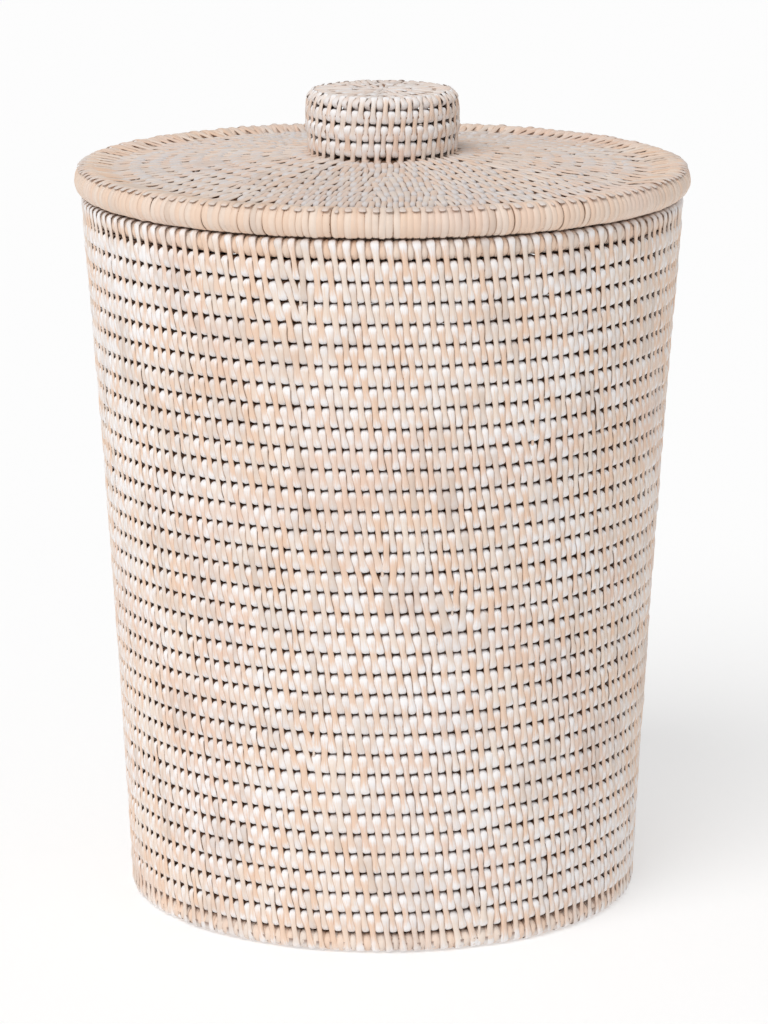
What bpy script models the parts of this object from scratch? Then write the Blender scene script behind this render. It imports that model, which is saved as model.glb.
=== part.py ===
"""A round, tapered laundry basket coiled from rattan, with a lift-off lid and a woven knob.

Metres, +Z up. The origin is the centre of the foot, on the floor. Each course of the wall is one turn
of the rattan core wrapped in its binding strips, made as a closed hoop of the section that it fills.
"""

import math

import bpy

OBJECT_NAME = "laundry_basket"

# Driving dimensions
LID_RADIUS = 0.2000
FOOT_RADIUS = 0.1679
MOUTH_RADIUS = 0.1959
WAIST = 0.0019
WALL_COURSES = 33
COURSE_HEIGHT = 0.01324
FOOT_HEIGHT = 0.0129
RIM_HOOP_HEIGHT = 0.0138
WALL_THICKNESS = 0.0120
GAP = 0.0003

# Base
BASE_THICKNESS = 0.0120
BASE_ROWS = 12

# Lid
LID_HOOP_RADIUS = 0.0097
LID_PANEL_THICKNESS = 0.0110
LID_PANEL_DROP = 0.0030
LID_PANEL_RISE = 0.0114
LID_ROWS = 10
LOCATING_RING_THICKNESS = 0.0120
LOCATING_RING_HEIGHT = 0.0140
MOUTH_CLEARANCE = 0.0025

# Knob
KNOB_RADIUS = 0.0505
KNOB_COURSES = 3
KNOB_COURSE_HEIGHT = 0.0106
KNOB_SHOULDER_HEIGHT = 0.0084
KNOB_THICKNESS = 0.0110
KNOB_BARREL = 0.0020
KNOB_TOP_CHAMFER = 0.0040

# Facets
TURN_STEPS = 28
COURSE_SIDES = 6
HOOP_SIDES = 8
ROW_DEPTH = 0.0015

# Heights that follow from the driving dimensions
WALL_TOP = FOOT_HEIGHT + WALL_COURSES * COURSE_HEIGHT
MOUTH_HEIGHT = WALL_TOP + RIM_HOOP_HEIGHT
LID_HOOP_HEIGHT = MOUTH_HEIGHT + GAP + LID_HOOP_RADIUS
LID_PANEL_RADIUS = LID_RADIUS - 2 * LID_HOOP_RADIUS - GAP
LID_PANEL_EDGE = LID_HOOP_HEIGHT + LID_HOOP_RADIUS - LID_PANEL_DROP
KNOB_FOOT = LID_PANEL_EDGE + LID_PANEL_RISE
KNOB_HEIGHT = KNOB_COURSES * KNOB_COURSE_HEIGHT + KNOB_SHOULDER_HEIGHT

# Finishes: linear base colour and roughness
FINISHES = {
    "wall_rattan": ((0.73, 0.63, 0.56), 0.62),
    "base_rattan": ((0.66, 0.57, 0.50), 0.66),
    "rim_rattan": ((0.77, 0.63, 0.53), 0.55),
    "lid_rattan": ((0.68, 0.60, 0.55), 0.64),
    "knob_rattan": ((0.72, 0.59, 0.51), 0.60),
}


def clear_scene():
    for obj in list(bpy.data.objects):
        bpy.data.objects.remove(obj, do_unlink=True)


def make_collection():
    parts = bpy.data.collections.new(OBJECT_NAME)
    bpy.context.scene.collection.children.link(parts)
    return parts


def make_material(name):
    colour, roughness = FINISHES[name]
    material = bpy.data.materials.new(name)
    material.use_nodes = True
    surface = material.node_tree.nodes["Principled BSDF"]
    surface.inputs["Base Color"].default_value = (*colour, 1.0)
    surface.inputs["Roughness"].default_value = roughness
    surface.inputs["Metallic"].default_value = 0.0
    material.diffuse_color = (*colour, 1.0)
    return material


def make_empty(parts, name, height):
    """The frame that a body's pieces are parented to."""
    empty = bpy.data.objects.new(name, None)
    empty.empty_display_size = 0.05
    empty.location.z = height
    parts.objects.link(empty)
    return empty


def turn(name, outline, height, closed, finish, parent, parts):
    """A turned piece. The outline is (radius, height) points that run down the outer side."""
    edges = [(i, i + 1) for i in range(len(outline) - 1)]
    if closed:
        edges.append((len(outline) - 1, 0))
    mesh = bpy.data.meshes.new(name)
    mesh.from_pydata([(radius, 0.0, z) for radius, z in outline], edges, [])
    mesh.materials.append(finish)

    piece = bpy.data.objects.new(name, mesh)
    parts.objects.link(piece)
    piece.parent = parent
    piece.location.z = height - parent.location.z

    screw = piece.modifiers.new("Turn", "SCREW")
    screw.axis = "Z"
    screw.angle = math.tau
    screw.steps = TURN_STEPS
    screw.render_steps = TURN_STEPS
    screw.use_merge_vertices = True
    screw.merge_threshold = 0.00001
    screw.use_smooth_shade = True
    return piece


def course_outline(outer_radius, thickness, height, lean=0.0):
    """A wrapped core's section: six sides, flat on top and underneath where it meets its neighbours."""
    middle = outer_radius - thickness / 2
    half_height = (height - GAP) / 2
    turn_per_corner = math.tau / COURSE_SIDES
    corners = []
    for corner in range(COURSE_SIDES):
        angle = turn_per_corner * (1 - corner)
        z = half_height * math.sin(angle) / math.sin(turn_per_corner)
        corners.append((middle + thickness / 2 * math.cos(angle) + lean * z, z))
    return corners


def hoop_outline(middle_radius, tube_radius):
    """A round hoop's section, eight sides with flats at its top, bottom, outside and inside."""
    corner_radius = tube_radius / math.cos(math.pi / HOOP_SIDES)
    corners = []
    for corner in range(HOOP_SIDES):
        angle = math.pi / 2 - (corner + 0.5) * math.tau / HOOP_SIDES
        corners.append(
            (middle_radius + corner_radius * math.cos(angle), corner_radius * math.sin(angle))
        )
    return corners


def row_crests(inner, outer, inner_top, outer_top, rows):
    """The upper side of a flat coil: one crest for each row, with a valley between rows."""
    points = []
    for step in range(2 * rows + 1):
        part = step / (2 * rows)
        sunk = ROW_DEPTH if step % 2 == 0 else 0.0
        radius = inner + (outer - inner) * part
        points.append((radius, inner_top + (outer_top - inner_top) * part - sunk))
    return points


def wall_radius(z):
    """The outer radius of the wall at height z: an even taper with a slight waist."""
    part = z / MOUTH_HEIGHT
    taper = FOOT_RADIUS + (MOUTH_RADIUS - FOOT_RADIUS) * part
    return taper - WAIST * 4 * part * (1 - part)


def wall_lean():
    """How much the wall's radius grows for each metre of height."""
    return (MOUTH_RADIUS - FOOT_RADIUS) / MOUTH_HEIGHT


def add_base(body, parts, finish):
    radius = wall_radius(FOOT_HEIGHT / 2) - WALL_THICKNESS - GAP
    top = row_crests(0.0, radius, BASE_THICKNESS, BASE_THICKNESS, BASE_ROWS)
    turn("base_panel", [*top, (radius, 0.0), (0.0, 0.0)], 0.0, False, finish, body, parts)


def add_wall(body, parts, finish):
    foot_height = FOOT_HEIGHT - GAP / 2
    outline = course_outline(wall_radius(foot_height / 2), WALL_THICKNESS, foot_height + GAP)
    turn("foot_course", outline, foot_height / 2, True, finish, body, parts)

    for course in range(WALL_COURSES):
        middle = FOOT_HEIGHT + (course + 0.5) * COURSE_HEIGHT
        outline = course_outline(
            wall_radius(middle), WALL_THICKNESS, COURSE_HEIGHT, wall_lean()
        )
        turn(f"wall_course_{course + 1:02d}", outline, middle, True, finish, body, parts)


def add_rim(body, parts, finish):
    middle = WALL_TOP + RIM_HOOP_HEIGHT / 2
    outline = course_outline(wall_radius(middle), WALL_THICKNESS, RIM_HOOP_HEIGHT)
    turn("rim_hoop", outline, middle, True, finish, body, parts)


def add_lid(body, parts, rim_finish, panel_finish):
    outline = hoop_outline(LID_RADIUS - LID_HOOP_RADIUS, LID_HOOP_RADIUS)
    turn("lid_rim_hoop", outline, LID_HOOP_HEIGHT, True, rim_finish, body, parts)

    hole = KNOB_RADIUS - KNOB_THICKNESS - KNOB_BARREL
    top = row_crests(KNOB_RADIUS, LID_PANEL_RADIUS, KNOB_FOOT, LID_PANEL_EDGE, LID_ROWS)
    seat = (hole, KNOB_FOOT - ROW_DEPTH)
    edge = (LID_PANEL_RADIUS, LID_PANEL_EDGE - LID_PANEL_THICKNESS)
    under = (hole, KNOB_FOOT - LID_PANEL_THICKNESS)
    turn("lid_panel", [seat, *top, edge, under], 0.0, True, panel_finish, body, parts)

    ring_radius = wall_radius(MOUTH_HEIGHT) - WALL_THICKNESS - MOUTH_CLEARANCE
    outline = course_outline(ring_radius, LOCATING_RING_THICKNESS, LOCATING_RING_HEIGHT)
    ring_top = LID_PANEL_EDGE - LID_PANEL_THICKNESS - GAP
    ring_middle = ring_top - LOCATING_RING_HEIGHT / 2
    turn("lid_locating_ring", outline, ring_middle, True, rim_finish, body, parts)


def knob_radius(z):
    """The knob swells slightly between its foot and its shoulder."""
    part = (z - KNOB_FOOT) / KNOB_HEIGHT
    return KNOB_RADIUS - KNOB_BARREL * (2 * part - 1) ** 2


def add_knob(body, parts, finish):
    for course in range(KNOB_COURSES):
        middle = KNOB_FOOT + (course + 0.5) * KNOB_COURSE_HEIGHT
        outline = course_outline(knob_radius(middle), KNOB_THICKNESS, KNOB_COURSE_HEIGHT)
        turn(f"knob_course_{course + 1}", outline, middle, True, finish, body, parts)

    shoulder_foot = KNOB_FOOT + KNOB_COURSES * KNOB_COURSE_HEIGHT
    middle = shoulder_foot + KNOB_SHOULDER_HEIGHT / 2
    outer = knob_radius(middle)
    outline = course_outline(outer, KNOB_THICKNESS, KNOB_SHOULDER_HEIGHT)
    turn("knob_shoulder", outline, middle, True, finish, body, parts)

    edge = outer - KNOB_THICKNESS - GAP
    flat = edge - KNOB_TOP_CHAMFER
    half_height = (KNOB_SHOULDER_HEIGHT - GAP) / 2
    outline = [(0.0, half_height), (flat, half_height), (edge, 0.0)]
    outline += [(flat, -half_height), (0.0, -half_height)]
    turn("knob_top", outline, middle, False, finish, body, parts)


def build():
    clear_scene()
    parts = make_collection()
    basket = make_empty(parts, "basket_body", 0.0)
    lid = make_empty(parts, "lid_lift_axis", MOUTH_HEIGHT)
    finishes = {name: make_material(name) for name in FINISHES}
    add_base(basket, parts, finishes["base_rattan"])
    add_wall(basket, parts, finishes["wall_rattan"])
    add_rim(basket, parts, finishes["rim_rattan"])
    add_lid(lid, parts, finishes["rim_rattan"], finishes["lid_rattan"])
    add_knob(lid, parts, finishes["knob_rattan"])


build()
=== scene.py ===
"""A coiled rattan laundry basket with a lift-off lid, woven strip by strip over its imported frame.

Run as a script. The sidebar panel lists one button for each group of pieces and one for the stage.
"""

import math
import random

import bpy
from mathutils import Matrix, Vector


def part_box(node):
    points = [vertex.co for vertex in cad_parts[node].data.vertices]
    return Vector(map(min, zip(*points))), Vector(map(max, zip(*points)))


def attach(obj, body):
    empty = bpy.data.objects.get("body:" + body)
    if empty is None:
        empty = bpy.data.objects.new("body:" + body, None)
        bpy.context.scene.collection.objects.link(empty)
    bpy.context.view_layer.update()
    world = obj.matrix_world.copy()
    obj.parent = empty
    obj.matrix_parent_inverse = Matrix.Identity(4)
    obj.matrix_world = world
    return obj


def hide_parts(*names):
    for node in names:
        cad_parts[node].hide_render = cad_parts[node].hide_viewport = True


bl_info = {
    "name": "Coiled Rattan Laundry Basket",
    "version": (1, 0, 0),
    "blender": (4, 5, 0),
    "location": "3D View > Sidebar > Basket",
    "description": "Weaves a coiled rattan basket and its lid over their packed frame",
    "category": "Object",
}

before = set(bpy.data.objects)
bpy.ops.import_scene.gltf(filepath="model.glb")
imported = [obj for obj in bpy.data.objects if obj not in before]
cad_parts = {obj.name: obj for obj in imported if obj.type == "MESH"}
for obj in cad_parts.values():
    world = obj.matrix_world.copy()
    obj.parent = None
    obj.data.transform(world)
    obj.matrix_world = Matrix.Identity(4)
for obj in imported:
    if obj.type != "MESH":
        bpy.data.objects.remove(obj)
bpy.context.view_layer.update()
WALL_NODES = sorted(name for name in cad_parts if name.startswith("wall_course_"))
KNOB_NODES = sorted(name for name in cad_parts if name.startswith("knob_course_"))


# ---- Node trees written as expressions ----

# Where a Mix node that is set to colours has its two colours and its result.
COLOUR_INPUTS = (6, 7)
COLOUR_OUTPUT = 2


class Value:
    """One socket of a node tree, which Python's operators turn into Math nodes."""

    def __init__(self, graph, socket):
        self.graph = graph
        self.socket = socket

    def other(self, name):
        """Another output of the same node."""
        return Value(self.graph, self.socket.node.outputs[name])

    def __add__(self, other):
        return self.graph.maths("ADD", self, other)

    def __radd__(self, other):
        return self.graph.maths("ADD", other, self)

    def __sub__(self, other):
        return self.graph.maths("SUBTRACT", self, other)

    def __rsub__(self, other):
        return self.graph.maths("SUBTRACT", other, self)

    def __mul__(self, other):
        return self.graph.maths("MULTIPLY", self, other)

    def __rmul__(self, other):
        return self.graph.maths("MULTIPLY", other, self)

    def __truediv__(self, other):
        return self.graph.maths("DIVIDE", self, other)

    def __rtruediv__(self, other):
        return self.graph.maths("DIVIDE", other, self)

    def __pow__(self, other):
        return self.graph.maths("POWER", self, other)

    def __abs__(self):
        return self.graph.maths("ABSOLUTE", self)


class Graph:
    """Adds nodes to a node tree, each of which comes back as its output's Value."""

    def __init__(self, tree):
        self.tree = tree

    def node(self, kind, settings=None, sockets=None, output=0):
        """Adds a node: its settings first, then each socket's value or link."""
        made = self.tree.nodes.new(kind)
        for name, value in (settings or {}).items():
            setattr(made, name, value)
        for name, value in (sockets or {}).items():
            self.feed(made.inputs[name], value)
        return Value(self, made.outputs[output]) if made.outputs else made

    def feed(self, socket, value):
        """Links a Value to a socket, or sets the socket's own value."""
        if isinstance(value, Value):
            self.tree.links.new(value.socket, socket)
        else:
            socket.default_value = value

    def maths(self, operation, *values):
        return self.node("ShaderNodeMath", {"operation": operation}, dict(enumerate(values)))

    def vector_maths(self, operation, *values):
        return self.node("ShaderNodeVectorMath", {"operation": operation}, dict(enumerate(values)))

    def scaled(self, vector, factor):
        """A vector times a number."""
        settings = {"operation": "SCALE"}
        return self.node("ShaderNodeVectorMath", settings, {"Vector": vector, "Scale": factor})

    def vector(self, x, y, z):
        return self.node("ShaderNodeCombineXYZ", None, {"X": x, "Y": y, "Z": z})

    def ramp(self, value, low, high, to_low=0.0, to_high=1.0):
        """A smooth step from to_low, where the value is low, up to to_high, where it is high."""
        sockets = {
            "Value": value,
            "From Min": low,
            "From Max": high,
            "To Min": to_low,
            "To Max": to_high,
        }
        return self.node("ShaderNodeMapRange", {"interpolation_type": "SMOOTHSTEP"}, sockets)

    def noise(self, vector, scale, detail=2.0, roughness=0.5, output="Fac"):
        sockets = {"Vector": vector, "Scale": scale, "Detail": detail, "Roughness": roughness}
        return self.node("ShaderNodeTexNoise", None, sockets, output)

    def mix(self, factor, first, second):
        """Mixes two colours, each a Value or a red, green, blue triple."""
        settings = {"data_type": "RGBA", "clamp_factor": True}
        first, second = (
            colour if isinstance(colour, Value) else (*colour, 1.0) for colour in (first, second)
        )
        sockets = {"Factor": factor, COLOUR_INPUTS[0]: first, COLOUR_INPUTS[1]: second}
        return self.node("ShaderNodeMix", settings, sockets, COLOUR_OUTPUT)


# ---- Strip geometry ----

# What a point of a strip cloud says about its strip, and the attribute type that holds it.
STRIP_FACTS = {
    "place": "FLOAT_VECTOR",
    "facing": "FLOAT_VECTOR",
    "span": "FLOAT",
    "width": "FLOAT",
    "flare": "FLOAT",
    "back": "FLOAT",
    "ahead": "FLOAT",
    "back_depth": "FLOAT",
    "ahead_depth": "FLOAT",
    "curl": "FLOAT",
    "back_curl": "FLOAT",
    "ahead_curl": "FLOAT",
    "tone": "FLOAT",
}

# A stitch's middle third bridges the seam. Beyond it, the strip turns down by the wrap angle.
STRAIGHT_SHARE = 1 / 3
WRAP_ANGLE = math.radians(98)

# How late a tip dives, how far the bridge sags as a share of its span, how squarely a strip's
# edges round off, and the curl of a straight strip.
DIVE_POWER = 2.0
SAG = 0.02
EDGE_ROUNDING = 4.0
LEAST_CURL = 0.1


def strip_fact(graph, name):
    """What the strip's point says about the strip."""
    settings = {"data_type": STRIP_FACTS[name]}
    return graph.node("GeometryNodeInputNamedAttribute", settings, {"Name": name})


def by_side(graph, side, name):
    """The strip's fact for its back half where side is -1, and for its front half where it's 1."""
    back, ahead = strip_fact(graph, f"back{name}"), strip_fact(graph, f"ahead{name}")
    return (back + ahead) * 0.5 + side * (ahead - back) * 0.5


def arc(graph, length, curl):
    """How far an arc of this length and curl runs forward and falls, and its angle.

    The curl is one over the radius. A little is added to it, so that a straight strip has a radius.
    """
    radius = 1.0 / (curl + LEAST_CURL)
    angle = length / radius
    return radius * graph.maths("SINE", angle), radius * (1.0 - graph.maths("COSINE", angle)), angle


def curled(graph, run, lift, half, curl, far_curl):
    """A point of a strip that curls over its crest at one rate, and at another rate beyond it."""
    near = graph.maths("MINIMUM", run, half)
    forward, fall, angle = arc(graph, near, curl)
    far_forward, far_fall, far_angle = arc(graph, run - near, far_curl)
    sine, cosine = graph.maths("SINE", angle), graph.maths("COSINE", angle)
    whole = angle + far_angle
    forward = forward + far_forward * cosine - far_fall * sine
    fall = fall + far_forward * sine + far_fall * cosine
    return forward + lift * graph.maths("SINE", whole), lift * graph.maths("COSINE", whole) - fall


def stitch_shape(graph, across, along, given):
    """A strip over two courses: wrapped round each, and straight where it bridges the seam."""
    span = strip_fact(graph, "span")
    far = abs(along)
    side = graph.maths("SIGN", along)
    tilt = graph.maths("MAXIMUM", (far - STRAIGHT_SHARE) / (1 - STRAIGHT_SHARE), 0.0) * WRAP_ANGLE
    level = graph.maths("MINIMUM", far / STRAIGHT_SHARE, 1.0)

    reach = by_side(graph, side, "") - given.other("Gap")
    half = span * 0.5
    run = level * half + reach * graph.maths("SINE", tilt)
    sag = (1.0 - level * level) * span * SAG
    dive = (1.0 - graph.maths("COSINE", tilt)) ** DIVE_POWER
    drop = dive * by_side(graph, side, "_depth") + sag
    fall = abs(across) ** EDGE_ROUNDING * given.other("Thickness")
    run = run - graph.maths("SINE", tilt) * fall
    drop = drop + graph.maths("COSINE", tilt) * fall

    part = level * 0.5 + graph.maths("SINE", tilt) * 0.5
    pinch = graph.maths("COSINE", part * math.pi) * given.other("Pinch")
    flare = 1.0 + strip_fact(graph, "flare") * part * 2.0 * side
    x = across * 0.5 * strip_fact(graph, "width") * (1.0 - pinch) * flare
    curls = strip_fact(graph, "curl"), by_side(graph, side, "_curl")
    y, z = curled(graph, run, -1.0 * drop, half, *curls)
    return x, side * y, z


def loop_shape(graph, across, along, given):
    """A strip wound once round a hoop of oval section."""
    turn = along * math.pi
    sine = graph.maths("SINE", turn)
    cosine = graph.maths("COSINE", turn)
    fall = abs(across) ** EDGE_ROUNDING * given.other("Thickness")
    x = across * 0.5 * strip_fact(graph, "width") * (1.0 + strip_fact(graph, "flare") * cosine)
    y = sine * (strip_fact(graph, "span") * 0.5 - fall)
    z = cosine * (strip_fact(graph, "ahead") - fall)
    return x, y, z


def add_inputs(tree, sockets):
    """Gives a geometry tree its inputs, as (name, kind, default), and its output."""
    tree.interface.new_socket("Geometry", in_out="OUTPUT", socket_type="NodeSocketGeometry")
    for name, kind, default in sockets:
        socket = tree.interface.new_socket(name, in_out="INPUT", socket_type=f"NodeSocket{kind}")
        if default is not None:
            socket.default_value = default


def make_strip_tree(name, shape):
    """Geometry nodes that grow one strip of the given shape at every point of a cloud."""
    tree = bpy.data.node_groups.new(name, "GeometryNodeTree")
    tree.is_modifier = True
    add_inputs(
        tree,
        [
            ("Points", "Geometry", None),
            ("Steps Along", "Int", 13),
            ("Steps Across", "Int", 5),
            ("Thickness", "Float", 0.0009),
            ("Pinch", "Float", 0.2),
            ("Gap", "Float", 0.0003),
            ("Unevenness", "Float", 0.0007),
            ("Unevenness Scale", "Float", 90.0),
            ("Material", "Material", None),
        ],
    )
    graph = Graph(tree)
    given = graph.node("NodeGroupInput", output="Points")

    grid_sockets = {
        "Size X": 2.0,
        "Size Y": 2.0,
        "Vertices X": given.other("Steps Across"),
        "Vertices Y": given.other("Steps Along"),
    }
    grid = graph.node("GeometryNodeMeshGrid", None, grid_sockets)
    flat = graph.node("ShaderNodeSeparateXYZ", None, {0: graph.node("GeometryNodeInputPosition")})
    for fact, axis in (("across", "X"), ("along", "Y")):
        sockets = {"Geometry": grid, "Name": fact, "Value": flat.other(axis)}
        grid = graph.node("GeometryNodeStoreNamedAttribute", {"data_type": "FLOAT"}, sockets)

    strips = graph.node("GeometryNodeInstanceOnPoints", None, {"Points": given, "Instance": grid})
    strips = graph.node("GeometryNodeRealizeInstances", None, {"Geometry": strips})

    across, along = (
        graph.node("GeometryNodeInputNamedAttribute", {"data_type": "FLOAT"}, {"Name": fact})
        for fact in ("across", "along")
    )
    shaped = graph.vector(*shape(graph, across, along, given))
    sockets = {"Vector": shaped, "Rotation": strip_fact(graph, "facing")}
    turned = graph.node("ShaderNodeVectorRotate", {"rotation_type": "EULER_XYZ"}, sockets)
    placed = graph.vector_maths("ADD", turned, strip_fact(graph, "place"))
    strips = graph.node("GeometryNodeSetPosition", None, {"Geometry": strips, "Position": placed})

    position = graph.node("GeometryNodeInputPosition")
    waves = graph.noise(position, given.other("Unevenness Scale"), output="Color")
    waves = graph.vector_maths("SUBTRACT", waves, (0.5, 0.5, 0.5))
    offset = graph.scaled(waves, given.other("Unevenness") * 2.0)
    strips = graph.node("GeometryNodeSetPosition", None, {"Geometry": strips, "Offset": offset})
    strips = graph.node("GeometryNodeSetShadeSmooth", None, {"Geometry": strips})
    sockets = {"Geometry": strips, "Material": given.other("Material")}
    strips = graph.node("GeometryNodeSetMaterial", None, sockets)
    graph.node("NodeGroupOutput", None, {"Geometry": strips})
    return tree


def strip_tree(name):
    """The named tree, made the first time that it's asked for."""
    shapes = {"two_course_stitch": stitch_shape, "hoop_wrap": loop_shape}
    return bpy.data.node_groups.get(name) or make_strip_tree(name, shapes[name])


class StripCloud:
    """The strips of one piece, each as a point with its facts."""

    def __init__(self):
        self.rows = {name: [] for name in STRIP_FACTS}

    def add(self, **facts):
        for name, kind in STRIP_FACTS.items():
            value = facts.get(name, 0.0)
            if kind == "FLOAT_VECTOR":
                self.rows[name].extend(value)
            else:
                self.rows[name].append(value)

    def mesh(self, name):
        count = len(self.rows["tone"])
        mesh = bpy.data.meshes.new(name)
        mesh.vertices.add(count)
        for fact, kind in STRIP_FACTS.items():
            attribute = mesh.attributes.new(fact, kind, "POINT")
            field = "vector" if kind == "FLOAT_VECTOR" else "value"
            attribute.data.foreach_set(field, self.rows[fact])
        return mesh


def make_plain(obj):
    """Turns the evaluated object into a plain mesh and drops its modifiers."""
    graph = bpy.context.evaluated_depsgraph_get()
    mesh = bpy.data.meshes.new_from_object(obj.evaluated_get(graph))
    obj.modifiers.clear()
    obj.data = mesh
    mesh.name = obj.name
    for fact in STRIP_FACTS:
        if fact != "tone" and fact in mesh.attributes:
            mesh.attributes.remove(mesh.attributes[fact])


def weave(name, cloud, tree_name, material, **inputs):
    """Grows a cloud's strips into one plain mesh."""
    obj = bpy.data.objects.new(name, cloud.mesh(name))
    bpy.context.scene.collection.objects.link(obj)
    modifier = obj.modifiers.new("Weave", "NODES")
    modifier.node_group = strip_tree(tree_name)
    named = {item.name: item.identifier for item in modifier.node_group.interface.items_tree}
    modifier[named["Material"]] = material
    for label, value in inputs.items():
        modifier[named[label.replace("_", " ").title()]] = value
    make_plain(obj)
    return obj


# ---- Courses and seams ----

# How unevenly the stitches are laid, as shares of a gap between two of them, and how often each
# seam's and each course's stitches are evened out.
STITCH_ASTRAY = 0.055
SEAM_ROUNDS = 3
COURSE_ROUNDS = 16
FEWEST_STITCHES = 7

# A strip's width and how much it widens, as shares of its room, and how far it stands out.
STITCH_FILL = 1.04
STITCH_WIDTHS = (0.9, 1.08)
MOST_FLARE = 0.3
STITCH_LIFT = 0.0002
SPARE_SINK = 0.0007

# The same for the strips wound round a hoop, and how far they lean either way, in radians.
LOOP_ASTRAY = 0.08
LOOP_FILL = 1.1
LOOP_WIDTHS = (0.85, 1.15)
LOOP_LIFT = 0.00015
LOOP_LEAN = 0.03


class Course:
    """One turn of the coil: its crest's radius and height, and the way that the crest faces.

    The facing is an angle in the half-plane of radius and height: 0 faces out and 90 degrees up.
    """

    def __init__(self, radius, height, facing):
        self.radius = radius
        self.height = height
        self.facing = facing

    def point(self):
        return Vector((self.radius, self.height))


def even_angles(count):
    return [math.tau * step / count for step in range(count)]


def with_neighbours(angles):
    """Each angle between the one before it and the one after it, all the way round."""
    before = [angles[-1] - math.tau, *angles[:-1]]
    after = [*angles[1:], angles[0] + math.tau]
    return list(zip(before, angles, after))


def evened(angles, rounds):
    """Evens out the gaps between angles, a little more with each round."""
    for _ in range(rounds):
        angles = [(before + 2 * here + after) / 4 for before, here, after in with_neighbours(angles)]
    return angles


def eased(angles, rng):
    """Evens out the gaps between angles, then puts each one slightly astray."""
    return [
        angle + rng.gauss(0.0, STITCH_ASTRAY) * (after - before) / 2
        for before, angle, after in with_neighbours(evened(angles, SEAM_ROUNDS))
    ]


def crossings_of(groups):
    """All the crossings of one course in order, as (angle, the seam's group, place in the seam)."""
    return sorted(
        (angle % math.tau, group, index)
        for group, angles in enumerate(groups)
        for index, angle in enumerate(angles)
    )


def evened_together(groups):
    """Evens out the gaps between all the crossings of one course, whichever seam they belong to."""
    crossings = crossings_of(groups)
    moved = evened([angle for angle, _, _ in crossings], COURSE_ROUNDS)
    shifted = [list(angles) for angles in groups]
    for (angle, group, index), new in zip(crossings, moved):
        shifted[group][index] += new - angle
    return shifted


def starts_between(angles, wanted, rng):
    """One start in each gap, with some gaps used twice or left out to reach the wanted number.

    The second list is the middles of the gaps that are left out.
    """
    gaps = [(angle, after) for _, angle, after in with_neighbours(angles)]
    change = wanted - len(gaps)
    bins = abs(change)
    chosen = {int((step + rng.random()) * len(gaps) / bins) for step in range(bins)}
    starts, left_out = [], []
    for index, (first, last) in enumerate(gaps):
        if index not in chosen:
            starts.append((first + last) / 2)
        elif change > 0:
            starts += [first + (last - first) / 3, first + (last - first) * 2 / 3]
        else:
            left_out.append((first + last) / 2)
    return starts, left_out


def stitch_counts(path, pitch):
    """How many stitches of this pitch fit each seam of a path."""
    middles = [(here.radius + there.radius) / 2 for here, there in zip(path, path[1:])]
    return [max(FEWEST_STITCHES, round(math.tau * radius / pitch)) for radius in middles]


def lay_seams(path, counts, lean, rng):
    """Where each seam's stitches cross the two courses that it binds, as two lists of angles.

    The seams are laid from the wider end of the path, each one's stitches between the last one's.
    A third list for each seam is the gaps where it has left a stitch out.
    """
    widening = path[-1].radius > path[0].radius
    order = list(range(len(counts)))
    if widening:
        order.reverse()
    seams = [None] * len(counts)
    near, left_out = even_angles(counts[order[0]]), []
    for place, index in enumerate(order):
        first, second = path[index], path[index + 1]
        span = (second.point() - first.point()).length
        shift = lean * span * 2 / (first.radius + second.radius) * (-1 if widening else 1)
        far = [angle + shift for angle in eased(near, rng)]
        start, spare = near, left_out
        if place + 1 < len(order):
            near, left_out = starts_between(far, counts[order[place + 1]], rng)
            far, near = evened_together([far, near])
        seams[index] = (far, start, spare) if widening else (start, far, spare)
    return seams


def shared_room(*groups):
    """The room that each crossing has on a course: half the gap between its two neighbours."""
    crossings = crossings_of(groups)
    rooms = [[0.0] * len(angles) for angles in groups]
    for position, (_, group, index) in enumerate(crossings):
        before = crossings[position - 1][0]
        after = crossings[(position + 1) % len(crossings)][0]
        rooms[group][index] = (after - before) % math.tau / 2
    return rooms


def seam_rooms(seams):
    """The room that each seam's stitches have on its first and on its second course."""
    rooms = [[None, None] for _ in seams]
    for course in range(len(seams) + 1):
        sides = [(course - 1, 1), (course, 0)]
        sides = [(seam, side) for seam, side in sides if 0 <= seam < len(seams)]
        shares = shared_room(*(seams[seam][side] for seam, side in sides))
        for (seam, side), share in zip(sides, shares):
            rooms[seam][side] = [room * len(sides) / 2 for room in share]
    return rooms


def half_turn_or_less(angle):
    """The same turn, from minus half a turn up to half a turn."""
    return (angle + math.pi) % math.tau - math.pi


def frame_at(angle, along, out):
    """The matrix whose axes are across, along and out of the surface at this angle."""
    radial = Vector((math.cos(angle), math.sin(angle), 0.0))
    y_axis = radial * along.x + Vector((0, 0, along.y))
    z_axis = radial * out.x + Vector((0, 0, out.y))
    return Matrix((y_axis.cross(z_axis), y_axis, z_axis)).transposed()


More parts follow.
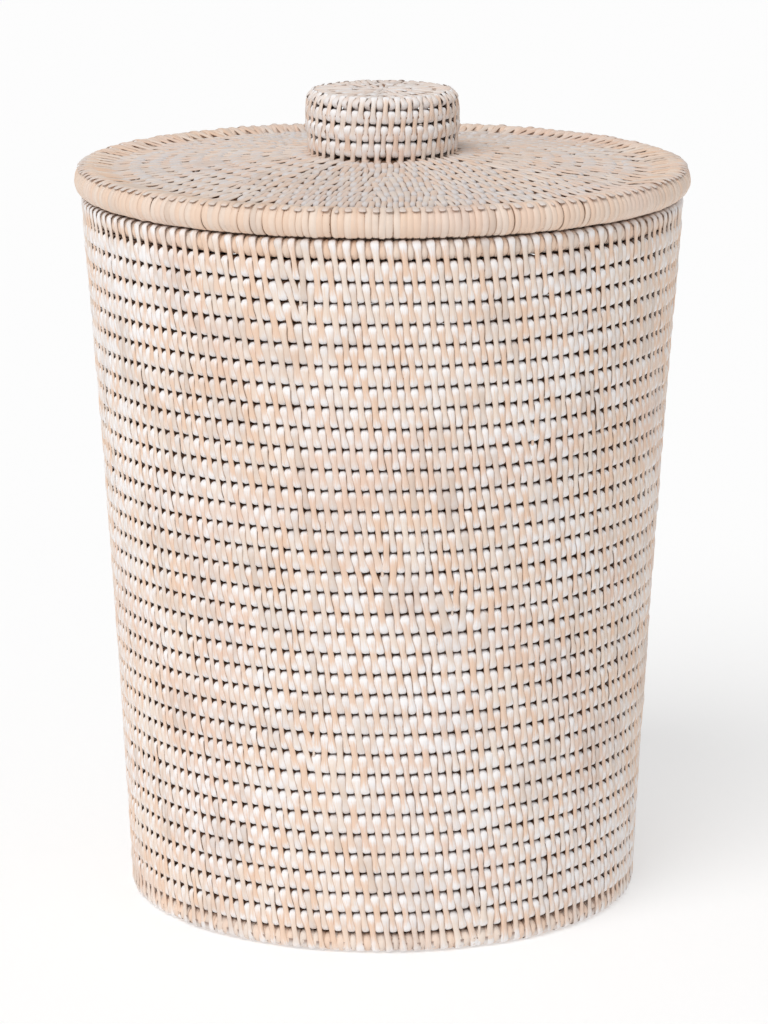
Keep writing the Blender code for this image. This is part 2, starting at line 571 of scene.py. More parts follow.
class Weave:
    """A path of courses with the stitches that bind them.

    The depths are how far the strips' tips dive at each seam. A stitch that has been left out is
    put back a little lower, where it only shows through the gap between its neighbours.
    """

    def __init__(self, path, counts, lean, depths, seed):
        self.rng = random.Random(seed)
        self.path = path
        self.depths = depths
        pairs = list(zip(path, path[1:]))
        self.spans = [(there.point() - here.point()).length for here, there in pairs]
        self.turns = [half_turn_or_less(there.facing - here.facing) for here, there in pairs]
        self.seams = lay_seams(path, counts, lean, self.rng)
        self.rooms = seam_rooms(self.seams)

    def add_seam(self, cloud, index):
        """The stitches that bind one course to the next."""
        rng = self.rng
        first, second = self.path[index], self.path[index + 1]
        start, end = first.point(), second.point()
        span, turn = self.spans[index], self.turns[index]
        along = (end - start) / span
        out = Vector((along.y, -along.x))
        before, after = max(index - 1, 0), min(index + 1, len(self.spans) - 1)
        back, ahead = self.spans[before] / 2, self.spans[after] / 2
        middle = (start + end) / 2 + out * span * turn / 8
        firsts, seconds, left_out = self.seams[index]
        room = math.pi / 2 / len(firsts)
        crossings = [(*crossing, 0.0) for crossing in zip(firsts, seconds, *self.rooms[index])]
        crossings += [(angle, angle, room, room, SPARE_SINK) for angle in left_out]
        for start_angle, end_angle, start_room, end_room, sink in crossings:
            angle = (start_angle + end_angle) / 2
            lean = math.atan2((end_angle - start_angle) * middle.x, span)
            widths = (start_room * first.radius, end_room * second.radius)
            flare = (widths[1] - widths[0]) / (widths[1] + widths[0])
            facing = frame_at(angle, along, out) @ Matrix.Rotation(-lean, 3, "Z")
            centre = Vector((middle.x * math.cos(angle), middle.x * math.sin(angle), middle.y))
            cloud.add(
                place=centre + facing.col[2] * (rng.gauss(0.0, STITCH_LIFT) - sink),
                facing=facing.to_euler("XYZ"),
                span=span,
                width=sum(widths) / 2 * STITCH_FILL * rng.uniform(*STITCH_WIDTHS),
                flare=max(-MOST_FLARE, min(MOST_FLARE, flare)),
                back=back,
                ahead=ahead,
                back_depth=self.depths[before],
                ahead_depth=self.depths[after],
                curl=turn / span,
                back_curl=self.turns[before] / 2 / back,
                ahead_curl=self.turns[after] / 2 / ahead,
                tone=rng.random(),
            )

    def cloud(self, first, last):
        """The stitches of the seams from first up to last."""
        cloud = StripCloud()
        for index in range(first, last):
            self.add_seam(cloud, index)
        return cloud


class Hoop:
    """A hoop of oval section: its middle line's radius and height, and its two half sizes."""

    def __init__(self, node, inset=0.0):
        inner, outer = radii_of(node)
        low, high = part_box(node)
        self.radius = (inner + outer) / 2
        self.height = (low.z + high.z) / 2
        self.half_width = (outer - inner) / 2 - inset
        self.half_height = (high.z - low.z) / 2 - inset


def loops_round(hoop, angles, rng, astray=LOOP_ASTRAY):
    """Strips wound once round a hoop, side by side."""
    cloud = StripCloud()
    outer = hoop.radius + hoop.half_width
    for before, angle, after in with_neighbours(angles):
        pitch = (after - before) / 2
        turned = angle + rng.gauss(0.0, astray) * pitch
        facing = frame_at(turned, Vector((0, 1)), Vector((1, 0)))
        facing = facing @ Matrix.Rotation(rng.gauss(0.0, LOOP_LEAN), 3, "Z")
        lift = rng.gauss(0.0, LOOP_LIFT)
        cloud.add(
            place=(hoop.radius * math.cos(turned), hoop.radius * math.sin(turned), hoop.height),
            facing=facing.to_euler("XYZ"),
            span=2 * (hoop.half_height + lift),
            width=pitch * outer * LOOP_FILL * rng.uniform(*LOOP_WIDTHS),
            flare=hoop.half_width / hoop.radius,
            ahead=hoop.half_width + lift,
            tone=rng.random(),
        )
    return cloud


# ---- Rods under the strips ----

RING_STEPS = 96
RING_SIDES = 10


def add_ring(points, faces, centre, section):
    """Adds a closed ring of oval section to lists of points and faces."""
    base = len(points)
    for step in range(RING_STEPS):
        angle = math.tau * step / RING_STEPS
        for side in range(RING_SIDES):
            turn = math.tau * side / RING_SIDES
            radius = centre.x + section[0] * math.cos(turn)
            height = centre.y + section[1] * math.sin(turn)
            points.append((radius * math.cos(angle), radius * math.sin(angle), height))
    for step in range(RING_STEPS):
        here = base + step * RING_SIDES
        there = base + (step + 1) % RING_STEPS * RING_SIDES
        for side in range(RING_SIDES):
            after = (side + 1) % RING_SIDES
            faces.append((here + side, there + side, there + after, here + after))


def make_cores(name, rings, material):
    """The rods under the strips, as (centre, section) rings in one piece."""
    points, faces = [], []
    for centre, section in rings:
        add_ring(points, faces, centre, section)
    mesh = bpy.data.meshes.new(name)
    mesh.from_pydata(points, [], faces)
    mesh.shade_smooth()
    mesh.materials.append(material)
    obj = bpy.data.objects.new(name, mesh)
    bpy.context.scene.collection.objects.link(obj)
    return obj


def hoop_core(hoop, inset):
    """The rod inside a hoop, as a centre and a section."""
    section = (hoop.half_width - inset, hoop.half_height - inset)
    return Vector((hoop.radius, hoop.height)), section


# ---- Settings ----


class WeaveSettings(bpy.types.PropertyGroup):
    """The sizes of the strips and how they are laid."""

    wall_pitch: bpy.props.FloatProperty(
        name="Wall Stitch Pitch",
        description="Distance from one stitch to the next along a seam of the basket",
        default=0.0086,
        min=0.004,
        max=0.02,
        unit="LENGTH",
    )
    lid_pitch: bpy.props.FloatProperty(
        name="Lid Stitch Pitch",
        description="Distance from one stitch to the next along a seam of the lid and knob",
        default=0.0081,
        min=0.004,
        max=0.02,
        unit="LENGTH",
    )
    hoop_pitch: bpy.props.FloatProperty(
        name="Hoop Wrap Pitch",
        description="Distance from one strip to the next round the lid's hoop",
        default=0.0041,
        min=0.002,
        max=0.02,
        unit="LENGTH",
    )
    wall_depth: bpy.props.FloatProperty(
        name="Wall Seam Depth",
        description="How deep a strip's tips dive between two courses of the basket",
        default=0.0048,
        min=0.001,
        max=0.01,
        unit="LENGTH",
    )
    lid_depth: bpy.props.FloatProperty(
        name="Lid Seam Depth",
        description="How deep a strip's tips dive between two rows of the lid",
        default=0.0044,
        min=0.001,
        max=0.01,
        unit="LENGTH",
    )
    wall_lean: bpy.props.FloatProperty(
        name="Wall Stitch Lean",
        description="How far the basket's stitches lean to the right of upright, seen from outside",
        default=math.radians(-7.9),
        min=-0.5,
        max=0.5,
        subtype="ANGLE",
    )
    lid_lean: bpy.props.FloatProperty(
        name="Lid Stitch Lean",
        description="How far the stitches of the lid and knob lean to the right",
        default=math.radians(3.0),
        min=-0.5,
        max=0.5,
        subtype="ANGLE",
    )
    seed: bpy.props.IntProperty(
        name="Seed",
        description="Seed of the strips' widths, places and shades",
        default=7,
    )


class FinishSettings(bpy.types.PropertyGroup):
    """The colours of the cane and of the whitewash over it."""

    tan: bpy.props.FloatVectorProperty(
        name="Rubbed Cane",
        description="The cane where the whitewash is rubbed off",
        default=(0.82, 0.575, 0.415),
        size=3,
        min=0.0,
        max=1.0,
        subtype="COLOR",
    )
    cream: bpy.props.FloatVectorProperty(
        name="Pale Cane",
        description="The palest strips",
        default=(0.85, 0.72, 0.615),
        size=3,
        min=0.0,
        max=1.0,
        subtype="COLOR",
    )
    wash: bpy.props.FloatVectorProperty(
        name="Whitewash",
        description="The whitewash where it lies thick",
        default=(0.92, 0.90, 0.90),
        size=3,
        min=0.0,
        max=1.0,
        subtype="COLOR",
    )
    grey: bpy.props.FloatVectorProperty(
        name="Thin Wash",
        description="The grey of thin whitewash on the lid",
        default=(0.66, 0.62, 0.61),
        size=3,
        min=0.0,
        max=1.0,
        subtype="COLOR",
    )
    # The rods' own brown, darkened further to paint the shade deep in the gaps between strips.
    core: bpy.props.FloatVectorProperty(
        name="Core",
        description="The bare rods between strips",
        default=(0.19, 0.11, 0.07),
        size=3,
        min=0.0,
        max=1.0,
        subtype="COLOR",
    )


# ---- Materials ----

# The shades that don't come from the settings, and how much of each is mixed in at the most.
BLUSH, BLUSH_SHARE = (0.78, 0.57, 0.48), 0.4
STRAY_STRIP, STRAY_SHARE = (0.52, 0.34, 0.22), 0.25
WEATHERED, WEATHERED_SHARE = (0.55, 0.43, 0.36), 0.32
# Painted shade: a dark brown between neighbouring strips, where they meet.
PAINTED_EDGE_SHADE, PAINTED_EDGE_SHADE_SHARE = (0.45, 0.27, 0.17), 0.85
# Painted shade: a dark brown where a strip's tip dives into the gap between courses.
PAINTED_TIP_SHADE, PAINTED_TIP_SHADE_SHARE = (0.26, 0.15, 0.10), 0.8
MOST_WASH = 0.98

# The scales of the patterns, in cycles to the metre.
DRIFT_SCALE = 9.0
BLUSH_SCALE = 13.0
WEATHER_SCALE = 22.0
PATCH_SCALE = 85.0
MOTTLE_SCALE = 160.0

# The finishes of the strips, each with what sets it apart from the wall's.
CANE_FINISHES = {
    "wall_cane": {},
    "inside_cane": {"washed": 0.8},
    "base_cane": {"washed": 0.7, "greyed": 0.4},
    "foot_cane": {"haze": 0.15, "tips": 0.0},
    "rim_cane": {"washed": 0.3, "tips": 0.0},
    "hoop_cane": {"washed": 0.6, "greyed": 0.6, "tips": 0.0, "variety": 0.6},
    "edge_cane": {"washed": 0.6, "greyed": 0.9},
    "lid_cane": {"haze": 0.3, "greyed": 0.85},
    "knob_cane": {"haze": 0.15},
    "crown_cane": {"haze": 0.45, "greyed": 0.3, "tips": 0.7},
}
RELIEF = {"Strength": 0.4, "Distance": 0.0004}
CANE_ROUGHNESS = 0.6
CORE_ROUGHNESS = 0.8
SHEEN = 0.4


def new_surface(name, roughness):
    """A new material with its graph and its surface node."""
    material = bpy.data.materials.new(name)
    material.use_nodes = True
    graph = Graph(material.node_tree)
    surface = material.node_tree.nodes["Principled BSDF"]
    surface.inputs["Roughness"].default_value = roughness
    surface.inputs["Specular IOR Level"].default_value = SHEEN
    return material, graph, surface


def strip_attribute(graph, name):
    """A strip's own value: its tone, or a point's place across or along it from -1 to 1."""
    settings = {"attribute_type": "GEOMETRY", "attribute_name": name}
    return graph.node("ShaderNodeAttribute", settings, output="Fac")


def strip_place(graph, across, along, tone):
    """A place for noise that runs along a strip and starts elsewhere on every strip."""
    return graph.vector(across + tone * 41.0, along + tone * 17.0, tone * 29.0)


def raised(graph, surface, height):
    """Gives a surface a fine relief."""
    bump = graph.node("ShaderNodeBump", None, {**RELIEF, "Height": height})
    graph.feed(surface.inputs["Normal"], bump)


def cane_material(name, finish, washed=1.0, haze=0.08, greyed=0.0, tips=1.0, variety=1.0):
    """Whitewashed cane strips: wash thick towards the tips, rubbed to tan over the bridges.

    washed is the thickest wash, haze the thinnest, greyed the wash's share of grey, tips how much
    the strips' tips differ from their middles, in wash and in the painted shade where they dive, and
    variety how much the strips differ. Each strip's edges are darkened with painted shade too.
    """
    material, graph, surface = new_surface(name, CANE_ROUGHNESS)
    across = strip_attribute(graph, "across")
    along = strip_attribute(graph, "along")
    tone = strip_attribute(graph, "tone")
    place = graph.node("ShaderNodeTexCoord", output="Object")
    streaks = graph.noise(strip_place(graph, across * 1.7, along * 0.45, tone), 2.4, 3.0, 0.6)
    patches = graph.noise(place, PATCH_SCALE, 3.0, 0.6)
    drifts = graph.noise(place, DRIFT_SCALE)

    shade = graph.ramp(tone + (streaks - 0.5) * 0.9, 0.1, 0.9)
    strip = graph.mix(shade * variety + (1 - variety) / 2, finish.tan, finish.cream)
    blush = graph.ramp(graph.noise(place, BLUSH_SCALE), 0.48, 0.68)
    strip = graph.mix(blush * BLUSH_SHARE, strip, BLUSH)

    spread = (streaks - 0.5) * 0.9 + (patches - 0.5) + (drifts - 0.5) * 0.9
    rubbed = graph.ramp(abs(along) * tips + spread, 0.12, 0.72)
    wash_share = rubbed * (MOST_WASH * washed - haze) + haze
    wash = graph.mix(greyed, finish.wash, finish.grey)
    strip = graph.mix(wash_share, strip, wash)

    stray = graph.ramp(tone, 0.95, 0.985)
    strip = graph.mix(stray * STRAY_SHARE, strip, STRAY_STRIP)
    weather = graph.noise(place, WEATHER_SCALE, 4.0, 0.65) + (tone - 0.5) * 0.22
    strip = graph.mix(graph.ramp(weather, 0.5, 0.72) * WEATHERED_SHARE, strip, WEATHERED)
    # Painted shade along each strip's edges, where it meets its neighbours, broken up by the
    # streaks.
    edge = graph.ramp(abs(across), 0.7, 1.0) * graph.ramp(streaks, 0.38, 0.62, 0.25, 1.0)
    strip = graph.mix(edge * PAINTED_EDGE_SHADE_SHARE, strip, PAINTED_EDGE_SHADE)
    # Painted shade at each strip's tips, where they dive into the gaps.
    tip = graph.ramp(abs(along), 0.8, 0.98) * tips
    strip = graph.mix(tip * PAINTED_TIP_SHADE_SHARE, strip, PAINTED_TIP_SHADE)
    graph.feed(surface.inputs["Base Color"], strip)
    graph.feed(surface.inputs["Roughness"], 0.45 + wash_share * 0.2)

    fibres = graph.noise(strip_place(graph, across * 8.0, along * 1.3, tone), 2.0, 3.0, 0.65)
    raised(graph, surface, fibres)
    return material


def core_material(name, finish):
    """The bare rods between strips, in their own brown darkened further as painted shade for the
    gaps.
    """
    material, graph, surface = new_surface(name, CORE_ROUGHNESS)
    place = graph.node("ShaderNodeTexCoord", output="Object")
    mottle = graph.noise(place, MOTTLE_SCALE, 3.0, 0.6)
    lighter = [min(1.0, part * 2.0) for part in finish.core]
    graph.feed(surface.inputs["Base Color"], graph.mix(mottle, finish.core, lighter))
    raised(graph, surface, mottle)
    return material


def finish_named(name):
    """The named material, made the first time that it's asked for."""
    finish = bpy.context.scene.basket_finish
    if name in bpy.data.materials:
        return bpy.data.materials[name]
    if name in CANE_FINISHES:
        return cane_material(name, finish, **CANE_FINISHES[name])
    return core_material(name, finish)


# ---- Paths over the frame ----

OUT, UP, IN, DOWN = (math.radians(turn) for turn in (0, 90, 180, -90))

# Rows of the frame's flat pieces, and the lid panel's thickness.
BASE_ROWS = 12
LID_ROWS = 10
PANEL_THICKNESS = 0.011

# The lid's hoop is crossed by stitches over its upper side.
HOOP_TOP_FACING = math.radians(75)
HOOP_TOP_LIFT = 0.0005
HOOP_TIP_DEPTH = 0.0005

# The knob's rows, as radii, and how far its courses lie inside the frame's.
CENTRE_RADIUS = 0.0015
KNOB_TOP_ROWS = (0.0395, 0.0260, 0.0120, CENTRE_RADIUS)
KNOB_TOP_DEPTH = 0.0008
KNOB_SIDE_SEAMS = 4
KNOB_HOLLOW_ROWS = (CENTRE_RADIUS, 0.0120, 0.0250)
KNOB_INSET = 0.0005
SHOULDER_CUT = 0.0023
SKIN = 0.0006


def radii_of(node):
    """The inner and outer radius of a turned node."""
    radii = [math.hypot(point.co.x, point.co.y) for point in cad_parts[node].data.vertices]
    return min(radii), max(radii)


def outer_crest(node, inset=0.0):
    """The course round the outer side of a turned node."""
    low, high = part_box(node)
    return Course(high.x - inset, (low.z + high.z) / 2, OUT)


def inner_crest(node):
    """The course round the inner side of a turned node."""
    low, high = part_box(node)
    return Course(radii_of(node)[0], (low.z + high.z) / 2, IN)


def even_rows(inner, outer, rows):
    """The middle radius of each row between two radii, from the inner one out."""
    return [inner + (outer - inner) * (row + 0.5) / rows for row in range(rows)]


def wall_path():
    """Outside of the wall, from the foot to the rim."""
    return [outer_crest(node) for node in ("foot_course", *WALL_NODES, "rim_hoop")]


def inside_path():
    """Inside of the wall, from the rim down, and then over the base to its centre."""
    wall = [inner_crest(node) for node in ("rim_hoop", *reversed(WALL_NODES))]
    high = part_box("base_panel")[1]
    rows = reversed(even_rows(0.0, high.x, BASE_ROWS))
    return [*wall, *(Course(radius, high.z, UP) for radius in rows)]


def underside_path():
    """Underside of the base, from its centre out to the foot."""
    low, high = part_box("base_panel")
    inner, outer = radii_of("foot_course")
    radii = (*even_rows(0.0, high.x, BASE_ROWS), (inner + outer) / 2)
    return [Course(radius, low.z + SKIN, DOWN) for radius in radii]


def panel_rows():
    """The lid panel's rows, as (radius, height of the upper side), from the knob out."""
    low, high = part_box("lid_panel")
    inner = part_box("knob_course_1")[1].x
    edge_height = low.z + PANEL_THICKNESS
    rows = even_rows(inner, high.x, LID_ROWS)
    slope = (edge_height - high.z) / (high.x - inner)
    return [(radius, high.z + slope * (radius - inner)) for radius in rows]


def lid_top_path():
    """Over the lid: the hoop's outer side and top, the panel's rows and one row under the knob."""
    hoop = Hoop("lid_rim_hoop")
    side = Course(hoop.radius + hoop.half_width, hoop.height, OUT)
    reach = hoop.half_width + HOOP_TOP_LIFT
    top_radius = hoop.radius + reach * math.cos(HOOP_TOP_FACING)
    top_height = hoop.height + reach * math.sin(HOOP_TOP_FACING)
    top = Course(top_radius, top_height, HOOP_TOP_FACING)
    rows = [Course(radius, height, UP) for radius, height in reversed(panel_rows())]
    last, previous = rows[-1], rows[-2]
    hidden = Course(2 * last.radius - previous.radius, 2 * last.height - previous.height, UP)
    return [side, top, *rows, hidden]


def knob_path():
    """Up the knob's side, from one course sunk in the panel, and over its top to the centre."""
    side = [outer_crest(node, KNOB_INSET) for node in KNOB_NODES]
    sunk = Course(side[0].radius, 2 * side[0].height - side[1].height, OUT)
    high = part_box("knob_shoulder")[1]
    shoulder = Course(high.x - SHOULDER_CUT, high.z - SHOULDER_CUT, (OUT + UP) / 2)
    top_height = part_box("knob_top")[1].z - KNOB_INSET
    top = [Course(radius, top_height, UP) for radius in KNOB_TOP_ROWS]
    return [sunk, *side, shoulder, *top]


def lid_under_path():
    """Under the lid: the knob's hollow from its centre, then the panel out to its edge."""
    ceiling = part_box("knob_top")[0].z
    hollow = [Course(radius, ceiling, DOWN) for radius in KNOB_HOLLOW_ROWS]
    side = [inner_crest(node) for node in reversed(KNOB_NODES)]
    panel = [Course(radius, height - PANEL_THICKNESS, DOWN) for radius, height in panel_rows()]
    row = panel[1].radius - panel[0].radius
    mouth = Course(panel[0].radius - row, panel[0].height, DOWN)
    return [*hollow, *side, mouth, *panel]


def even_weave(path, pitch, lean, depth, seed):
    """A weave of even pitch whose seams are all equally deep."""
    return Weave(path, stitch_counts(path, pitch), lean, [depth] * len(path), seed)


def wall_weave(settings):
    """The outside of the wall."""
    pitch, lean, depth = settings.wall_pitch, settings.wall_lean, settings.wall_depth
    return even_weave(wall_path(), pitch, lean, depth, settings.seed)


def lid_weave(settings):
    """The top of the lid, whose stitches hardly dive beside the hoop."""
    path = lid_top_path()
    counts = stitch_counts(path, settings.lid_pitch)
    depths = [HOOP_TIP_DEPTH, *[settings.lid_depth] * len(path)]
    return Weave(path, counts, settings.lid_lean, depths, settings.seed + 3)


def knob_weave(settings):
    """The knob, whose side has as many stitches in each course, and whose top is nearly flat."""
    path = knob_path()
    counts = stitch_counts(path, settings.lid_pitch)
    counts[: KNOB_SIDE_SEAMS + 1] = counts[:1] * (KNOB_SIDE_SEAMS + 1)
    depths = [settings.lid_depth] * KNOB_SIDE_SEAMS + [KNOB_TOP_DEPTH] * len(KNOB_TOP_ROWS)
    return Weave(path, counts, settings.lid_lean, depths, settings.seed + 6)


# ---- Stage ----

CAMERA_PLACE = (0.0010, -2.817, 0.8947)
CAMERA_PITCH = math.radians(12.89)
CAMERA_LENS = 153.65
FLOOR_HALF_SIZE = 15.0
FLOOR_DROP = 0.0005
FLOOR_SHADE = 0.6
FLOOR_ROUGHNESS = 0.9
FLOOR_GLOW = 0.42
SKY_STRENGTH = 0.53
KEY_AZIMUTH = math.radians(-119)
KEY_ELEVATION = math.radians(48)
KEY_SOFTNESS = math.radians(40)
KEY_STRENGTH = 1.68
WHITE = (1.0, 1.0, 1.0, 1.0)


def add_floor():
    """A floor that glows a little, so that it's nearly as pale as the sky."""
    mesh = bpy.data.meshes.new("floor")
    half = FLOOR_HALF_SIZE
    corners = [(-half, -half, 0), (half, -half, 0), (half, half, 0), (-half, half, 0)]
    mesh.from_pydata(corners, [], [(0, 1, 2, 3)])
    material, _, surface = new_surface("floor_paper", FLOOR_ROUGHNESS)
    surface.inputs["Base Color"].default_value = (*[FLOOR_SHADE] * 3, 1.0)
    surface.inputs["Emission Color"].default_value = WHITE
    surface.inputs["Emission Strength"].default_value = FLOOR_GLOW
    mesh.materials.append(material)
    floor = bpy.data.objects.new("floor", mesh)
    floor.location.z = -FLOOR_DROP
    bpy.context.scene.collection.objects.link(floor)


def add_sun(name, azimuth, elevation, strength, softness):
    """A distant light from an azimuth (from +X towards +Y) and an elevation."""
    light = bpy.data.lights.new(name, "SUN")
    light.energy = strength
    light.angle = softness
    flat = math.cos(elevation)
    towards = Vector((flat * math.cos(azimuth), flat * math.sin(azimuth), math.sin(elevation)))
    obj = bpy.data.objects.new(name, light)
    obj.rotation_euler = towards.to_track_quat("Z", "Y").to_euler()
    bpy.context.scene.collection.objects.link(obj)


def add_lights():
    """A white sky and one soft key light from the front left."""
    world = bpy.data.worlds.new("studio")
    world.use_nodes = True
    background = world.node_tree.nodes["Background"]
    background.inputs["Color"].default_value = WHITE
    background.inputs["Strength"].default_value = SKY_STRENGTH
    bpy.context.scene.world = world
    add_sun("key", KEY_AZIMUTH, KEY_ELEVATION, KEY_STRENGTH, KEY_SOFTNESS)


def add_camera():
    """A long lens that looks slightly down on the basket."""
    camera = bpy.data.cameras.new("camera")
    camera.lens = CAMERA_LENS
    camera.clip_end = 60.0
    obj = bpy.data.objects.new("camera", camera)
    obj.location = CAMERA_PLACE
    obj.rotation_euler = (math.pi / 2 - CAMERA_PITCH, 0.0, 0.0)
    bpy.context.scene.collection.objects.link(obj)
    bpy.context.scene.camera = obj


# ---- Operators ----

WALL_GROUPS = 4
LOW_STRIPS = {"steps_along": 9, "steps_across": 3}
FLAT_STRIPS = {**LOW_STRIPS, "unevenness": 0.0002}
HOOP_STRIPS = {"steps_along": 17, "steps_across": 4, "unevenness": 0.0002}
LID_HOOP_STRIPS = {"steps_across": 5, "unevenness": 0.0003}
LID_EDGE_STRIPS = {"pinch": 0.1}
LID_STRIPS = {"pinch": 0.05, "gap": 0.0011}
KNOB_STRIPS = {"pinch": 0.25}
CROWN_STRIPS = {"pinch": 0.1}

# How far the wraps lie inside their hoops and the rods inside their wraps, a rod's half width as a
# share of its row, and how much of its inset a rod of the wall is given back in height.
FOOT_WRAP_INSET = 0.0002
RIM_WRAP_INSET = 0.0007
LID_WRAP_INSET = 0.0001
HOOP_CORE_INSET = 0.0009
CORE_INSET = 0.00115
SHOULDER_CORE_INSET = 0.0024
ROD_SHARE = 0.49
ROD_OVERLAP = 0.9


def settle(obj, body, nodes=()):
    """Ties a finished piece to its body and hides the frame's nodes that it stands for."""
    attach(obj, body)
    if nodes:
        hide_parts(*nodes)


def stitched(name, cloud, material, **inputs):
    """A piece of stitches over two courses."""
    return weave(name, cloud, "two_course_stitch", finish_named(material), **inputs)


def hoop_wrapped(name, cloud, material, **inputs):
    """A piece of strips wound round a hoop."""
    return weave(name, cloud, "hoop_wrap", finish_named(material), **inputs)


def cores(name, rings):
    """A piece of bare rods."""
    return make_cores(name, rings, finish_named("bare_core"))


class BASKET_OT_wall(bpy.types.Operator):
    """Weave the outside of the wall, seam by seam"""

    bl_idname = "basket.wall"
    bl_label = "Wall"

    def execute(self, context):
        laid = wall_weave(context.scene.basket_weave)
        count = len(laid.seams)
        share = math.ceil(count / WALL_GROUPS)
        for group in range(WALL_GROUPS):
            first, last = group * share, min((group + 1) * share, count)
            obj = stitched(f"wall_weave_{group + 1}", laid.cloud(first, last), "wall_cane")
            settle(obj, "basket")
        rings = [hoop_core(Hoop(node), CORE_INSET) for node in WALL_NODES]
        overlap = CORE_INSET * ROD_OVERLAP
        rods = [(centre, (half[0], half[1] + overlap)) for centre, half in rings]
        settle(cores("wall_cores", rods), "basket", WALL_NODES)
        return {"FINISHED"}


class BASKET_OT_inside(bpy.types.Operator):
    """Weave the inside of the wall and the upper side of the base"""

    bl_idname = "basket.inside"
    bl_label = "Inside"

    def execute(self, context):
        settings = context.scene.basket_weave
        lean = -settings.wall_lean
        path = inside_path()
        laid = even_weave(path, settings.wall_pitch, lean, settings.wall_depth, settings.seed + 1)
        floor_seam = len(WALL_NODES)
        wall = stitched("inside_weave", laid.cloud(0, floor_seam), "inside_cane", **LOW_STRIPS)
        settle(wall, "basket")
        last = len(laid.seams)
        base = stitched("base_weave", laid.cloud(floor_seam, last), "base_cane", **LOW_STRIPS)
        settle(base, "basket")
        return {"FINISHED"}


class BASKET_OT_base(bpy.types.Operator):
    """Weave the underside of the base over its rods"""

    bl_idname = "basket.base"
    bl_label = "Base"

    def execute(self, context):
        settings = context.scene.basket_weave
        path = underside_path()
        lean = settings.wall_lean
        laid = even_weave(path, settings.wall_pitch, lean, settings.wall_depth, settings.seed + 2)
        cloud = laid.cloud(0, len(laid.seams))
        weave_below = stitched("underside_weave", cloud, "base_cane", **FLAT_STRIPS)
        settle(weave_below, "basket")
        low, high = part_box("base_panel")
        section = (high.x / BASE_ROWS * ROD_SHARE, (high.z - low.z) / 2 - CORE_INSET - SKIN)
        middle = (low.z + high.z) / 2 + SKIN / 2
        rings = [(Vector((course.radius, middle)), section) for course in path[:-1]]
        settle(cores("base_cores", rings), "basket", ["base_panel"])
        return {"FINISHED"}


class BASKET_OT_hoops(bpy.types.Operator):
    """Wrap the foot and the hoop round the basket's mouth"""

    bl_idname = "basket.hoops"
    bl_label = "Foot and Rim Hoops"

    def execute(self, context):
        laid = wall_weave(context.scene.basket_weave)
        firsts, lasts = laid.seams[0][0], laid.seams[-1][1]
        for name, node, inset, angles, slot, finish in (
            ("foot_wrap", "foot_course", FOOT_WRAP_INSET, firsts, "wall_rattan", "foot_cane"),
            ("rim_wrap", "rim_hoop", RIM_WRAP_INSET, lasts, "rim_rattan", "rim_cane"),
        ):
            hoop = Hoop(node, inset)
            between = [(angle + after) / 2 for _, angle, after in with_neighbours(angles)]
            both = [angle for pair in zip(angles, between) for angle in pair]
            cloud = loops_round(hoop, both, laid.rng, astray=0.0)
            settle(hoop_wrapped(name, cloud, finish, **HOOP_STRIPS), "basket", [node])
            core = cores(f"{name}_core", [hoop_core(hoop, HOOP_CORE_INSET)])
            settle(core, "basket")
        return {"FINISHED"}


class BASKET_OT_lid(bpy.types.Operator):
    """Weave the lid's panel on both sides"""

    bl_idname = "basket.lid"
    bl_label = "Lid Panel"

    def execute(self, context):
        settings = context.scene.basket_weave
        top = lid_weave(settings)
        edge = stitched("lid_edge_weave", top.cloud(1, 2), "edge_cane", **LID_EDGE_STRIPS)
        settle(edge, "lid")
        cloud = top.cloud(2, len(top.seams))
        obj = stitched("lid_weave", cloud, "lid_cane", **LID_STRIPS)
        settle(obj, "lid")

        path = lid_under_path()
        lean = settings.lid_lean
        under = even_weave(path, settings.lid_pitch, lean, settings.lid_depth, settings.seed + 4)
        hollow_seams = len(KNOB_HOLLOW_ROWS) + len(KNOB_NODES)
        clouds = (under.cloud(0, hollow_seams), under.cloud(hollow_seams, len(under.seams)))
        obj = stitched("knob_hollow_weave", clouds[0], "knob_cane", **LOW_STRIPS)
        settle(obj, "lid")
        obj = stitched("lid_under_weave", clouds[1], "lid_cane", **LOW_STRIPS)
        settle(obj, "lid")

        rows = panel_rows()
        section = ((rows[1][0] - rows[0][0]) * ROD_SHARE, PANEL_THICKNESS / 2 - CORE_INSET)
        centres = [Vector((radius, height - PANEL_THICKNESS / 2)) for radius, height in rows]
        centres.append(centres[0] + (centres[0] - centres[1]))
        obj = cores("lid_cores", [(centre, section) for centre in centres])
        settle(obj, "lid", ["lid_panel"])
        return {"FINISHED"}


class BASKET_OT_lid_hoops(bpy.types.Operator):
    """Wrap the lid's hoop and the ring that holds it in the mouth"""

    bl_idname = "basket.lid_hoops"
    bl_label = "Lid Hoops"

    def execute(self, context):
        settings = context.scene.basket_weave
        rng = random.Random(settings.seed + 5)
        for name, node, steps in (
            ("lid_hoop_wrap", "lid_rim_hoop", 25),
            ("locating_ring_wrap", "lid_locating_ring", 13),
        ):
            hoop = Hoop(node, LID_WRAP_INSET)
            angles = even_angles(round(math.tau * hoop.radius / settings.hoop_pitch))
            cloud = loops_round(hoop, angles, rng)
            inputs = {**LID_HOOP_STRIPS, "steps_along": steps}
            settle(hoop_wrapped(name, cloud, "hoop_cane", **inputs), "lid", [node])
            core = cores(f"{name}_core", [hoop_core(hoop, HOOP_CORE_INSET)])
            settle(core, "lid")
        return {"FINISHED"}


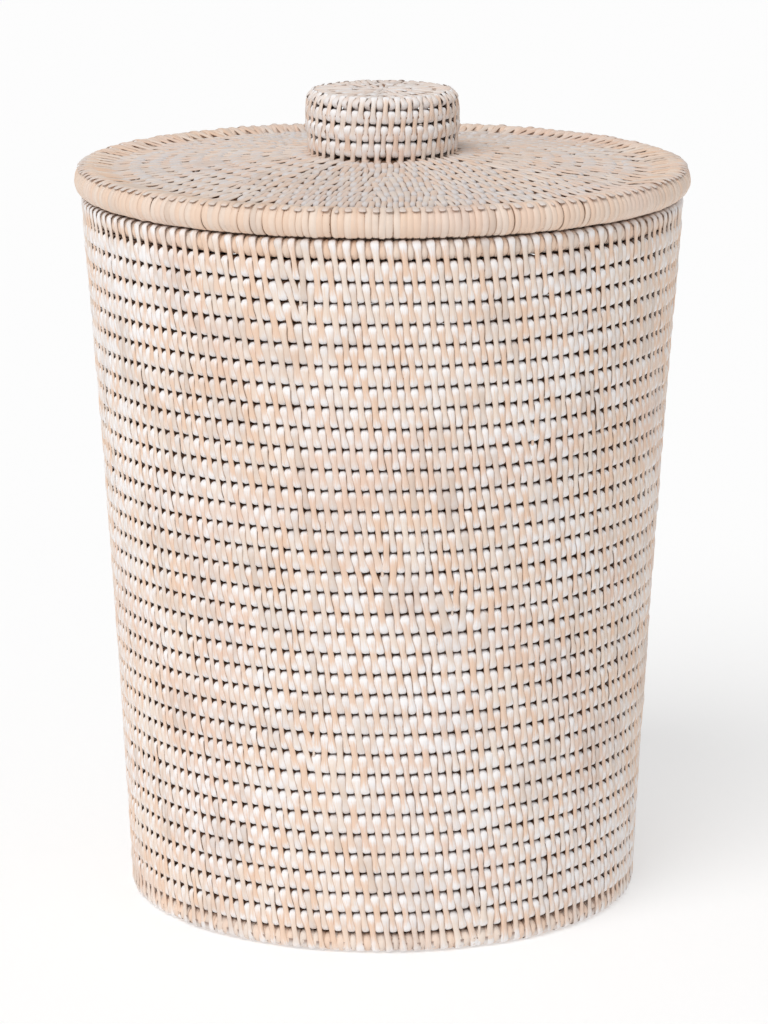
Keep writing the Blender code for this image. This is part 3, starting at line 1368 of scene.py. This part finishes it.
class BASKET_OT_knob(bpy.types.Operator):
    """Weave the knob's side and top"""

    bl_idname = "basket.knob"
    bl_label = "Knob"

    def execute(self, context):
        laid = knob_weave(context.scene.basket_weave)
        side = stitched("knob_weave", laid.cloud(0, KNOB_SIDE_SEAMS), "knob_cane", **KNOB_STRIPS)
        settle(side, "lid")
        cloud = laid.cloud(KNOB_SIDE_SEAMS, len(laid.seams))
        crown = stitched("knob_crown_weave", cloud, "crown_cane", **CROWN_STRIPS)
        settle(crown, "lid")

        rings = [hoop_core(Hoop(node), CORE_INSET) for node in KNOB_NODES]
        rings.append(hoop_core(Hoop("knob_shoulder"), SHOULDER_CORE_INSET))
        low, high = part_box("knob_top")
        middle = (low.z + high.z) / 2
        section = (high.x / len(KNOB_TOP_ROWS) / 2, (high.z - low.z) / 2 - CORE_INSET)
        radii = even_rows(0.0, high.x, len(KNOB_TOP_ROWS))
        rings += [(Vector((radius, middle)), section) for radius in radii]
        nodes = [*KNOB_NODES, "knob_shoulder", "knob_top"]
        settle(cores("knob_cores", rings), "lid", nodes)
        return {"FINISHED"}


class BASKET_OT_stage(bpy.types.Operator):
    """Set the camera, the pale floor and the soft light"""

    bl_idname = "basket.stage"
    bl_label = "Stage"

    def execute(self, context):
        add_floor()
        add_lights()
        add_camera()
        context.scene.view_settings.view_transform = "Standard"
        return {"FINISHED"}


# ---- Panel and registration ----


class BASKET_PT_panel(bpy.types.Panel):
    """The sidebar's list of settings and steps"""

    bl_idname = "BASKET_PT_panel"
    bl_label = "Rattan Basket"
    bl_space_type = "VIEW_3D"
    bl_region_type = "UI"
    bl_category = "Basket"

    def draw(self, context):
        column = self.layout.column()
        for settings in (context.scene.basket_weave, context.scene.basket_finish):
            for name in settings.__annotations__:
                column.prop(settings, name)
        for operator in OPERATORS:
            column.operator(operator.bl_idname)


OPERATORS = (
    BASKET_OT_wall,
    BASKET_OT_inside,
    BASKET_OT_base,
    BASKET_OT_hoops,
    BASKET_OT_lid,
    BASKET_OT_lid_hoops,
    BASKET_OT_knob,
    BASKET_OT_stage,
)
CLASSES = (WeaveSettings, FinishSettings, *OPERATORS, BASKET_PT_panel)


def register():
    for cls in CLASSES:
        bpy.utils.register_class(cls)
    bpy.types.Scene.basket_weave = bpy.props.PointerProperty(type=WeaveSettings)
    bpy.types.Scene.basket_finish = bpy.props.PointerProperty(type=FinishSettings)


def unregister():
    del bpy.types.Scene.basket_finish
    del bpy.types.Scene.basket_weave
    for cls in reversed(CLASSES):
        bpy.utils.unregister_class(cls)


def main():
    register()
    bpy.ops.basket.wall()
    bpy.ops.basket.inside()
    bpy.ops.basket.base()
    bpy.ops.basket.hoops()
    bpy.ops.basket.lid()
    bpy.ops.basket.lid_hoops()
    bpy.ops.basket.knob()
    bpy.ops.basket.stage()


if __name__ == "__main__":
    main()
